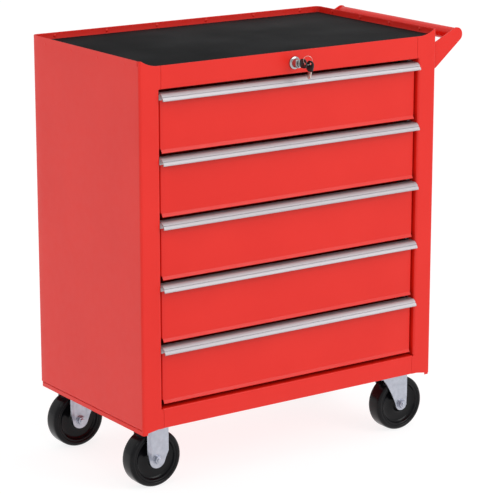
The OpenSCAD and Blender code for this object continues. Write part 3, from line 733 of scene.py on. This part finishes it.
def handle():
    """Push handle: a tube between two folded brackets that are screwed to the right side."""
    bar_low, bar_high = cart_box("handle_bar")
    bar_x, bar_z = (bar_low.x + bar_high.x) / 2, (bar_low.z + bar_high.z) / 2
    bar_r = (bar_high.z - bar_low.z) / 2
    ends = [(0, bar_r - 1.2), (0.3, bar_r - 0.4), (1.2, bar_r)]
    length = bar_high.y - bar_low.y
    profile = ends + [(length * k / 8, bar_r) for k in range(1, 8)]
    profile += [(length - h, r) for h, r in reversed(ends)]
    shape = Shape().add(lathe(profile, 48), at(bar_x, bar_low.y, bar_z) @ ALONG_Y)
    piece("handle_bar", shape, "cabinet", "red_paint")

    low, high = cart_box("handle_bracket_front")
    gauge = bar_low.y - low.y
    end_r = high.x - bar_x
    foot, root_low, root_high = high.y, low.z, low.z + 47
    skin, face_y = WIDTH + gauge / 2, low.y + gauge / 2
    plan = rounded([(skin, foot), (skin, face_y), (WIDTH + 8, face_y)], [2.2])

    def edge(x, root, sign):
        start = Vector((WIDTH - bar_x, root - bar_z))
        a = math.atan2(start.y, start.x) - sign * math.acos(end_r / start.length)
        touch = end_r * Vector((math.cos(a), math.sin(a)))
        run = x - bar_x
        if run <= start.x:
            return root
        if run < touch.x:
            return bar_z + start.y + (touch.y - start.y) * (run - start.x) / (touch.x - start.x)
        return bar_z + sign * math.sqrt(max(0.01, end_r ** 2 - run ** 2))

    xs = [WIDTH + 8 + 4 * k for k in range(8)]
    xs += [bar_x + end_r * math.sin(math.radians(a)) for a in range(-40, 91, 10)]
    plan = plan[:-1] + [Vector((x, face_y)) for x in xs]
    rows = []
    for t in (0, 0.25, 0.5, 0.75, 1):
        row = []
        for p in plan:
            bottom, top = edge(p.x, root_low, -1), edge(p.x, root_high, 1)
            row.append(Vector((p.x, p.y, bottom + (top - bottom) * t)))
        rows.append(row)
    bracket = thick(grid(rows), gauge)
    flip = at(0, DEPTH, 0) @ Matrix.Scale(-1, 4, (0, 1, 0))
    screws = Shape()
    for name, matrix in (("front", Matrix.Identity(4)), ("rear", flip)):
        shape = Shape().add(bracket, matrix)
        piece(f"handle_bracket_{name}", shape, "cabinet", "red_paint", bevel=0.5, segments=3)
        for z in (low.z + 10, root_high - 10):
            screws.add(socket_head(4.6, 2.4), matrix @ at(WIDTH + gauge, low.y + 13, z) @ ALONG_X)
    piece("handle_screws", screws, "cabinet", "zinc", bevel=0.12, angle=30)


# ---------------------------------------------------------------- lock and keys
def lock():
    """Cam lock: chrome housing with a turned flange, and the plug that the key turns."""
    low, high = cart_box("lock_housing")
    x, z = (low.x + high.x) / 2, (low.z + high.z) / 2
    flange_r, reach = (high.x - low.x) / 2, -low.y
    stem, bore = 9.4, 6.05
    outer = [(0, flange_r), (1.6, flange_r), (2.5, flange_r - 0.5), (3, flange_r - 1.4), (3, 8.8), (3.6, 7.8)]
    outer += [(4.4, 7.5), (reach - 1.2, 7.5), (reach - 0.3, 7.2), (reach, 6.8), (reach - 0.2, 6.4)]
    outer += [(reach - 0.9, bore)]
    thread = [(-2 - k, stem - 0.5 * (k % 2)) for k in range(19)]
    profile = [(-high.y, bore), (-high.y, stem - 0.4)] + thread[::-1]
    profile += [(-1, stem), (-1, flange_r - 2), (0, flange_r - 1)]
    facing = at(x, 0, z) @ ALONG_Y.inverted()
    shape = Shape().add(lathe(profile + outer, 48, closed=True), facing)
    piece("lock_housing", shape, "cabinet", "lock_chrome", angle=30)
    plug_low, plug_high = cart_box("lock_plug")
    front = -plug_low.y
    face = [(-plug_high.y, 6), (front - 0.5, 6), (front - 0.1, 5.6), (front - 0.1, 4.9), (front - 0.5, 4.7)]
    shape = Shape().add(lathe(face, 40), facing)
    for side in (-1, 1):
        wall = prism([(-0.5, -4.2), (0.5, -4.2), (0.5, 4.2), (-0.5, 4.2)], 0, 0.7, 0.15)
        shape.add(wall, facing @ at(side * 1.75, 0, front - 0.75))
    piece("lock_plug", shape, "lock", "lock_chrome", angle=30)


def key_shapes():
    """Bow with its ring hole at the origin, and blade, both lying in y and z."""
    lying = Matrix.Rotation(math.radians(90), 4, "Z") @ Matrix.Rotation(math.radians(90), 4, "X")
    steps, hole, half, cut = 40, 2.1, 1.1, 0.4
    outer = []
    for k in range(steps):
        c, s = math.cos(2 * math.pi * k / steps), math.sin(2 * math.pi * k / steps)
        along, side = math.copysign(abs(c) ** 0.72, c), math.copysign(abs(s) ** 0.8, s)
        outer.append(Vector((4.5 + 9.5 * along, 8 * side)))

    def ring(kind, amount, level):
        if kind == "hole":
            points = [p.normalized() * (hole + amount) for p in outer]
        else:
            points = [p * (1 - amount / p.length) for p in outer]
        return [(p.x, p.y, level) for p in points]

    side = [("hole", 0, 0.4), ("hole", 0.15, 0.5), ("hole", 1.3, 0.5), ("hole", 1.5, half)]
    side += [("out", 0.9, half), ("out", cut + 0.1, half - 0.1), ("out", 0, half - cut)]
    rows = [ring(kind, amount, -level) for kind, amount, level in side]
    rows += [ring(kind, amount, level) for kind, amount, level in reversed(side)]
    bow = grid(rows + rows[:1], wrap=True)
    neck, long, wide = 14.0, 12.0, 3.5
    edge = [(neck - 1, wide - 2), (neck + 2.5, wide - 2)]
    for k in range(4):
        start = neck + 3.2 + 1.8 * k
        edge += [(start, wide - 2.9 - 0.5 * (2 * k % 3)), (start + 1, wide - 2.2)]
    edge += [(neck + long - 0.9, wide - 3.6), (neck + long, -2.0), (neck + long, -2.6)]
    edge += [(neck + long - 2.4, -wide - 2), (neck - 1, -wide - 2)]
    blade = Shape().add(prism(edge[::-1], -0.95, 0.95, 0.12), lying)
    for side in (-1, 1):
        rib = [(neck, -3.6), (neck + long - 3, -3.6), (neck + long - 3, -2.6), (neck, -2.6)]
        blade.add(prism(rib, min(side * 0.9, side), max(side * 0.9, side)), lying)
    bow = Shape().add(bow, lying)
    return (bow.verts, bow.faces), (blade.verts, blade.faces)


def keys():
    """The key in the lock, a split ring through its bow, and a spare key that hangs on the ring."""
    low, high = cart_box("key_bow")
    hole = Vector(((low.x + high.x) / 2, low.y + 5, (low.z + high.z) / 2))
    ring_r, turn = 7.5, math.radians(25)
    across = Vector((math.cos(turn), -math.sin(turn), 0))

    def on_ring(degrees):
        a = math.radians(degrees)
        return ring_r * (math.cos(a) * across + Vector((0, 0, math.sin(a))))

    centre = hole - on_ring(230)
    tilt = Matrix.Rotation(math.radians(10), 4, "Z") @ Matrix.Rotation(math.radians(-76), 4, "X")
    spare = at(*(centre + on_ring(-50))) @ tilt
    for prefix, matrix, body in (("", at(*hole), "lock"), ("spare_", spare, "spare_keys")):
        bow, blade = key_shapes()
        piece(f"{prefix}key_bow", Shape().add(bow, matrix), body, "key_plastic", angle=50)
        piece(f"{prefix}key_blade", Shape().add(blade, matrix), body, "key_nickel")
    normal = across.cross(Vector((0, 0, 1)))
    path = [centre + on_ring(9 * k) + normal * (k / 80 - 0.5) * 0.4 for k in range(81)]
    piece("key_ring", Shape().add(tube(path, 0.26, 10)), "spare_keys", "key_nickel")


# ---------------------------------------------------------------- casters
def wheel_profile():
    """Closed section of a wheel as (distance along the axle, radius): tread, beads, dish, hub and bore."""
    tread, edge, side = 50.0, 6.0, 16.0
    half = [(0, tread), (5, tread - 0.05)]
    half += [(h, r) for h, r in arc((side - edge, tread - edge - 0.2), edge, 85, 0, 7)]
    half += [(side - 0.1, 42.6), (side - 0.9, 41.7), (side - 1.5, 41.2), (side - 1.3, 40.2)]
    half += [(side - 0.7, 39.4), (side - 0.8, 38.4), (side - 1.8, 37.4), (side - 4.4, 36.4)]
    half += [(10.0, 34.8), (9.0, 32), (8.6, 27), (8.7, 21), (9.6, 17), (11.6, 14.6)]
    half += [(14.7, 13), (16, 12.4), (16.5, 11.4), (16.5, 6), (15.9, 4.6), (15.1, 4.15)]
    return half + [(-h, r) for h, r in reversed(half[1:])]


def wheels():
    """Four moulded wheels."""
    for name in ("fixed_wheel_front", "fixed_wheel_rear", "swivel_wheel_front", "swivel_wheel_rear"):
        low, high = cart_box(name)
        middle = (low + high) / 2
        shape = Shape().add(lathe(wheel_profile(), 96, closed=True), at(*middle) @ ALONG_Y)
        piece(name, shape, name.replace("wheel_", ""), "wheel_black", angle=50)


def flat_plate(low, high, corner):
    """Mounting plate with rounded corners."""
    square = [(low.x, low.y), (high.x, low.y), (high.x, high.y), (low.x, high.y)]
    return prism(rounded(square, corner, 5, closed=True), low.z, high.z, 0.4)


def leg(rows_at, spot, columns, gauge):
    """A pressed leg: rows_at gives (height, left edge, right edge), and spot places a point."""
    rows = [[spot(left + (right - left) * c, z) for c in columns] for z, left, right in rows_at]
    return thick(grid(rows), gauge)


def fixed_forks():
    """Rigid forks: a mounting plate with two legs whose edges turn outwards above the axle."""
    gauge, half, end_r, flat, knee = 2.5, 20.5, 15.5, 12.0, 14.0
    slope = math.tan(math.radians(25))
    low_a = math.atan2(knee, half) - math.acos(end_r / math.hypot(knee, half))
    touch = end_r * Vector((math.cos(low_a), math.sin(low_a)))
    for end in ("front", "rear"):
        low, high = cart_box(f"fixed_fork_{end}")
        wheel_low, wheel_high = cart_box(f"fixed_wheel_{end}")
        axle = (wheel_low + wheel_high) / 2
        plate_z = high.z - PLATE_T
        plate = Vector((low.x, axle.y - 36, plate_z)), Vector((high.x, axle.y + 36, high.z))
        shape = Shape().add(flat_plate(*plate, 6))
        levels = [(plate_z - (plate_z - axle.z - knee) * k / 5, half) for k in range(6)]
        fall, narrowing = (touch.y - knee) / 6, (touch.x - half) / 6
        levels += [(axle.z + knee + fall * k, half + narrowing * k) for k in range(1, 7)]
        turns = [-low_a + (1.54 + low_a) * k / 8 for k in range(1, 9)]
        levels += [(axle.z - end_r * math.sin(a), end_r * math.cos(a)) for a in turns]
        columns = [0, 0.07, 0.14, 0.19, 0.22, 0.26, 0.4, 0.6, 0.74, 0.78, 0.81, 0.86, 0.93, 1]
        for side in (-1, 1):
            def spot(x, z, side=side):
                fade = min(1.0, max(0.0, (z - axle.z + 10) / (knee + 10)))
                bulge = slope * fade * max(0.0, abs(x) - flat)
                return Vector((axle.x + x, axle.y + side * (FIXED_LEG_Y + bulge), z))
            shape.add(leg([(z, -w, w) for z, w in levels], spot, columns, gauge))
        piece(f"fixed_fork_{end}", shape, "cabinet", "zinc", bevel=0.45, segments=3)


def swivel_forks():
    """Swivelling forks: a dished crown on a ball race, and two legs that lean back to the axle."""
    gauge, end_r = 2.5, 12.0
    for end in ("front", "rear"):
        body = f"swivel_{end}"
        plate_low, plate_high = cart_box(f"swivel_plate_{end}")
        wheel_low, wheel_high = cart_box(f"swivel_wheel_{end}")
        axle = (wheel_low + wheel_high) / 2
        pin_x = (plate_low.x + plate_high.x) / 2
        plate_z = plate_high.z - PLATE_T
        shape = Shape().add(flat_plate(Vector((plate_low.x, plate_low.y, plate_z)), plate_high, 6))
        pin_at = at(pin_x, axle.y, 0)
        race = [(plate_z, 24), (plate_z - 2, 24), (plate_z - 4, 22.5), (6, 21.5), (6, 9)]
        shape.add(lathe(race, 56), pin_at)
        pin = [(7, 5.9), (-3.2, 5.9), (-3.2, 8.6), (-3.6, 9), (-5.4, 9), (-6.1, 8.2), (-6.2, 5)]
        shape.add(lathe(pin, 36), pin_at)
        piece(f"swivel_plate_{end}", shape, "cabinet", "zinc", bevel=0.2)

        crown = [(-3, 6.2), (-3, 27), (-2.4, 28.6), (-1, 29), (4.4, 29), (5.3, 28.4), (5.5, 27.2)]
        crown += [(5.3, 25.4), (3.5, 25.1), (0.4, 25.0), (0, 23), (0, 6.2)]
        shape = Shape().add(lathe(crown, 64, closed=True), pin_at)
        trail = axle.x - pin_x
        deck = rounded([(pin_x - 20, axle.y - 19.4), (axle.x + end_r, axle.y - 19.4),
                        (axle.x + end_r, axle.y + 19.4), (pin_x - 20, axle.y + 19.4)],
                       3, 4, closed=True)
        hole = arc((pin_x, axle.y), 6.2, 0, 360, 24)[:-1]
        shape.add(holed([tuple(p) for p in deck], hole, -3, 0))
        corner, waist = Vector((-trail - 9, -axle.z - 6)), Vector((-end_r - 5, end_r + 4))
        a = math.atan2(waist.y, waist.x) + math.acos(end_r / waist.length)
        touch = end_r * Vector((math.cos(a), math.sin(a)))
        levels = [(-0.4, corner.x, end_r), (-3, corner.x, end_r), (-6, corner.x, end_r)]
        for k in range(1, 11):
            t = k / 10
            p = (1 - t) ** 2 * corner + 2 * t * (1 - t) * waist + t * t * touch
            levels.append((axle.z + p.y, p.x, end_r if p.y > 0 else math.sqrt(end_r ** 2 - p.y ** 2)))
        start = math.asin(-touch.y / end_r)
        for k in range(1, 8):
            b = start + (1.54 - start) * k / 7
            levels.append((axle.z - end_r * math.sin(b), -end_r * math.cos(b), end_r * math.cos(b)))
        levels = sorted(levels, key=lambda row: -row[0])
        columns = [k / 16 for k in range(17)]
        for side in (-1, 1):
            def spot(x, z, side=side):
                rib = 0.9 / (1 + math.exp(-(x + 1.5) * 2.2))
                rib *= min(1.0, max(0.0, (z - axle.z - 8) / 6))
                return Vector((axle.x + x, axle.y + side * (SWIVEL_LEG_Y + rib), z))
            shape.add(leg(levels, spot, columns, gauge))
        piece(f"swivel_fork_{end}", shape, body, "zinc", bevel=0.4, segments=3)


def holed(outline, hole, low, high):
    """A plate with one round hole, between two loops that start at the same side."""
    count = len(hole)
    centre = sum((Vector(p) for p in hole), Vector((0, 0))) / count
    loop = []
    for p in hole:
        ray = (Vector(p) - centre).normalized()
        best = None
        for a, b in zip(outline, outline[1:] + outline[:1]):
            a, b = Vector(a) - centre, Vector(b) - centre
            cross = ray.cross(b - a)
            if abs(cross) > 1e-9:
                reach = a.cross(b - a) / cross
                along = a.cross(ray) / cross
                if reach > 0 and -1e-6 <= along <= 1 + 1e-6:
                    best = min(best, reach) if best else reach
        loop.append(centre + ray * best)
    loops = ((hole, low), (loop, low), (loop, high), (hole, high))
    rows = [[(p[0], p[1], z) for p in points] for points, z in loops]
    return grid(rows + rows[:1], wrap=True)


def axle_bolt(x, y, z):
    """Axle bolt through a fork at (x, y, z): head behind, nut and washer in front."""
    shape = Shape()
    out = 19.5
    shape.add(lathe([(-out - 8.6, 3.4), (-out - 8.2, 4), (out + 1, 4)], 28), at(x, y, z) @ ALONG_Y)
    shape.add(hex_bolt(7.5, 5.3, 8.6), at(x, y + out, z) @ ALONG_Y)
    shape.add(hex_bolt(7.5, 6.5, 8.6), at(x, y - out, z) @ ALONG_Y.inverted())
    return shape.verts, shape.faces


def axles():
    """Axle bolts of all four casters."""
    fixed = Shape()
    for end in ("front", "rear"):
        for kind in ("fixed", "swivel"):
            low, high = cart_box(f"{kind}_wheel_{end}")
            bolt = axle_bolt(*((low + high) / 2))
            if kind == "fixed":
                fixed.add(bolt)
            else:
                piece(f"swivel_axle_{end}", Shape().add(bolt), f"swivel_{end}", "zinc", bevel=0.2, angle=25)
    piece("fixed_axles", fixed, "cabinet", "zinc", bevel=0.2, angle=25)


def caster_bolts():
    """Bolts through the base pan, with nuts and washers under the mounting plates."""
    shape = Shape()
    for name in ("fixed_fork_front", "fixed_fork_rear", "swivel_plate_front", "swivel_plate_rear"):
        low, high = cart_box(name)
        middle = (low + high) / 2
        if name.startswith("fixed"):
            wheel_low, wheel_high = cart_box(name.replace("fork", "wheel"))
            middle.y = (wheel_low.y + wheel_high.y) / 2
        for dx in (-BOLT_X, BOLT_X):
            for dy in (-BOLT_Y, BOLT_Y):
                spot = at(middle.x + dx, middle.y + dy, 0)
                shape.add(hex_bolt(7.5, 5.3, 8.4), spot @ at(0, 0, PAN_TOP))
                under = at(0, 0, high.z - PLATE_T) @ Matrix.Rotation(math.pi, 4, "X")
                shape.add(hex_bolt(7.5, 6.5, 8.4), spot @ under)
                shape.add(lathe([(high.z - 11, 3.4), (high.z - 10.6, 4), (PAN_TOP, 4)], 24), spot)
    piece("caster_bolts", shape, "cabinet", "zinc", bevel=0.2, angle=25)


# ---------------------------------------------------------------- camera, light and floor
def studio():
    """Camera at the photograph's angle, a pale floor and soft white light."""
    low, high = (Vector(corner) for corner in cad_box)
    azimuth, elevation = math.radians(-34.8241), math.radians(14.2371)
    level = math.cos(elevation)
    back = Vector((math.sin(azimuth) * level, -math.cos(azimuth) * level, math.sin(elevation)))
    aim = (low + high) / 2 + Vector((-14.8, 5.6, -15.1)) * MM
    data = bpy.data.cameras.new("camera")
    data.lens = 163.02
    data.sensor_width = 36
    camera = bpy.data.objects.new("camera", data)
    camera.location = aim + back * 3.9468
    camera.rotation_euler = back.to_track_quat("Z", "Y").to_euler()
    bpy.context.collection.objects.link(camera)
    bpy.context.scene.camera = camera

    mesh = bpy.data.meshes.new("floor")
    reach = 60.0
    z = low.z - 0.0002
    square = [(-reach, -reach, z), (reach, -reach, z), (reach, reach, z), (-reach, reach, z)]
    mesh.from_pydata(square, [], [(0, 1, 2, 3)])
    floor = bpy.data.objects.new("floor", mesh)
    bpy.context.collection.objects.link(floor)
    material, nodes, links, shader = tree("floor")
    links.new(ramp(nodes, links, noise(nodes, links, 3), 0.24, 0.26), shader.inputs["Base Color"])
    shader.inputs["Emission Color"].default_value = (1, 1, 1, 1)
    shader.inputs["Emission Strength"].default_value = 0.83
    shader.inputs["Roughness"].default_value = 0.9
    shader.inputs["Specular IOR Level"].default_value = 0.0
    mesh.materials.append(material)

    world = bpy.data.worlds.new("studio")
    bpy.context.scene.world = world
    world.use_nodes = True
    world.node_tree.nodes["Background"].inputs["Color"].default_value = (1, 1, 1, 1)
    world.node_tree.nodes["Background"].inputs["Strength"].default_value = 0.78

    for name, spot, size, power in (
        ("key", (1.6, -3.2, 2.4), 2.2, 50),
        ("corner", (-3.0, -1.3, 3.0), 0.5, 7),
        ("top", (0.2, 0.2, 3.0), 2.4, 8),
    ):
        lamp = bpy.data.lights.new(name, "AREA")
        lamp.energy = power
        lamp.size = size
        light = bpy.data.objects.new(name, lamp)
        light.location = spot
        light.rotation_euler = (Vector(spot) - Vector((0, 0, 0.35))).to_track_quat("Z", "Y").to_euler()
        bpy.context.collection.objects.link(light)
    bpy.context.scene.view_settings.view_transform = "Standard"


def finish_cad_nodes():
    """Gives each CAD node that stays in view its material, and softens the edges of the rear uprights and
    lock parts.
    """
    for subpart in frame["record"]["subparts"]:
        node = frame["nodes"][subpart["node"]]
        node.data.materials.clear()
        node.data.materials.append(MATERIALS[subpart["material_slot"]])
    for name in ("rear_uprights", "lock_nut", "lock_shaft", "lock_bar", "lock_bar_guides"):
        cut = frame["nodes"][name].modifiers.new("edges", "BEVEL")
        cut.width = 0.25 * MM
        cut.segments = 2
        cut.limit_method = "ANGLE"
        cut.angle_limit = math.radians(40)
        cut.harden_normals = True


studio()
side_panel("left_side_panel", BOTH_SIDES[0])
side_panel("right_side_panel", BOTH_SIDES[1])
back_panel()
tray()
mat()
front_rails()
base()
rivets()
for i in DRAWERS:
    drawer_front(i)
    pull(i)
    drawer_box(i)
slides()
handle()
lock()
keys()
wheels()
fixed_forks()
swivel_forks()
axles()
caster_bolts()
finish_cad_nodes()
